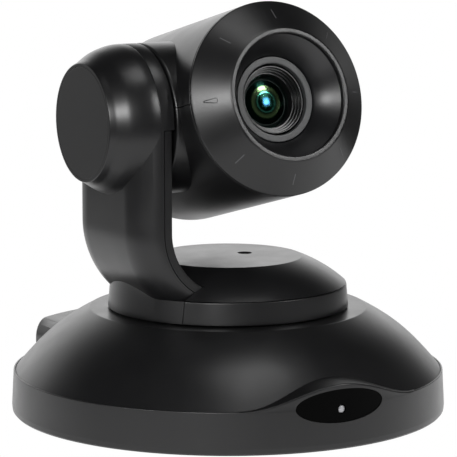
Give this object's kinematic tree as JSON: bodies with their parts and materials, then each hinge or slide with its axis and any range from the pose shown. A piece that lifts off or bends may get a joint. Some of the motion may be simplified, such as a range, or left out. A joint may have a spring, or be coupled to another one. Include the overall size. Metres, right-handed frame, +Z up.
{
  "type": "ptz camera",
  "caption": "Tabletop pan-tilt-zoom camera: round domed base with an oval window, turret with one side arm, and a barrel head with a conical bezel round a recessed lens.",
  "frame": {"origin": "centre of the round base, on the surface that the feet stand on", "axes": "+Z up, lens towards -Y at rest, so +X is to the camera's left as it looks out; the arm is on the -X side"},
  "size_m": [0.1816, 0.1816, 0.1734],
  "materials": {
    "satin_plastic": "fine satin texture",
    "ring_plastic": "satin",
    "gloss_plastic": "polished",
    "lamp_plastic": "clear over grey",
    "glass": "coated",
    "rubber": "matt",
    "steel": "plain",
    "painted_steel": "black satin",
    "brass": "turned",
    "aluminium": "cast",
    "board_green": "solder mask",
    "white_plastic": "moulded"
  },
  "bodies": {
    "base": {"base_housing": "satin_plastic", "base_plate": "painted_steel", "ir_window": "gloss_plastic", "ir_receiver": "lamp_plastic", "foot_front_left": "rubber", "foot_front_right": "rubber", "foot_rear_left": "rubber", "foot_rear_right": "rubber", "base_screw_1": "steel", "base_screw_2": "steel", "base_screw_3": "steel", "base_screw_4": "steel", "rear_panel": "painted_steel", "network_socket": "steel", "usb_socket": "steel", "video_socket": "steel", "power_socket": "gloss_plastic", "main_board": "board_green", "base_chassis": "aluminium", "pan_bearing": "steel", "pan_motor": "painted_steel"},
    "pan_motor_pinion": {"pan_pinion": "brass"},
    "turret": {"turret_ring": "satin_plastic", "turret_cap": "satin_plastic", "cap_screw": "painted_steel", "arm_outer_shell": "satin_plastic", "arm_inner_cover": "satin_plastic", "drum_end_cap": "satin_plastic", "turret_frame": "steel", "pan_shaft": "steel", "pan_gear": "white_plastic", "arm_bracket": "steel", "tilt_bearing": "steel", "tilt_motor": "painted_steel"},
    "tilt_motor_pinion": {"tilt_pinion": "brass"},
    "head": {"head_upper_shell": "satin_plastic", "head_lower_shell": "satin_plastic", "front_bezel": "satin_plastic", "lens_shroud": "gloss_plastic", "lens_ring": "ring_plastic", "lens_barrel": "satin_plastic", "front_lens": "glass", "lens_frame": "aluminium", "guide_rod_upper": "steel", "guide_rod_lower": "steel", "iris_diaphragm": "painted_steel", "zoom_motor": "painted_steel", "focus_motor": "painted_steel", "image_sensor": "gloss_plastic", "sensor_board": "board_green", "tilt_shaft": "steel", "tilt_gear": "white_plastic"},
    "zoom_lead_screw": {"zoom_screw": "steel"},
    "zoom_group": {"zoom_carriage": "white_plastic", "zoom_lens": "glass"},
    "focus_lead_screw": {"focus_screw": "steel"},
    "focus_group": {"focus_carriage": "white_plastic", "focus_lens": "glass"}
  },
  "joints": [
    {"name": "pan", "type": "hinge", "parent": "base", "child": "turret", "pos_m": [0, 0, 0.04], "axis": [0, 0, 1], "range_deg": [-155, 155]},
    {"name": "pan_pinion_spin", "type": "hinge", "parent": "base", "child": "pan_motor_pinion", "pos_m": [0, -0.0435, 0.026], "axis": [0, 0, 1], "range_deg": [-760, 760]},
    {"name": "tilt", "type": "hinge", "parent": "turret", "child": "head", "pos_m": [0, 0, 0.1248], "axis": [-1, 0, 0], "range_deg": [-44, 76]},
    {"name": "tilt_pinion_spin", "type": "hinge", "parent": "turret", "child": "tilt_motor_pinion", "pos_m": [-0.062, 0, 0.1098], "axis": [-1, 0, 0], "range_deg": [-235, 140]},
    {"name": "zoom_screw_spin", "type": "hinge", "parent": "head", "child": "zoom_lead_screw", "pos_m": [-0.012, 0.00244, 0.1345], "axis": [0, -0.9699, 0.2436], "range_deg": [-350, 350]},
    {"name": "zoom_slide", "type": "slide", "parent": "head", "child": "zoom_group", "axis": [0, -0.9699, 0.2436], "range_m": [-0.0058, 0.0058]},
    {"name": "focus_screw_spin", "type": "hinge", "parent": "head", "child": "focus_lead_screw", "pos_m": [0.012, -0.00244, 0.1151], "axis": [0, -0.9699, 0.2436], "range_deg": [-290, 290]},
    {"name": "focus_slide", "type": "slide", "parent": "head", "child": "focus_group", "axis": [0, -0.9699, 0.2436], "range_m": [-0.0048, 0.0048]}
  ],
  "couplings": [
    {"joint": "pan_pinion_spin", "follows": "pan", "ratio": -4.8},
    {"joint": "tilt_pinion_spin", "follows": "tilt", "ratio": -3},
    {"joint": "zoom_screw_spin", "follows": "zoom_slide", "rad_per_m": 1047.2},
    {"joint": "focus_screw_spin", "follows": "focus_slide", "rad_per_m": 1047.2}
  ]
}
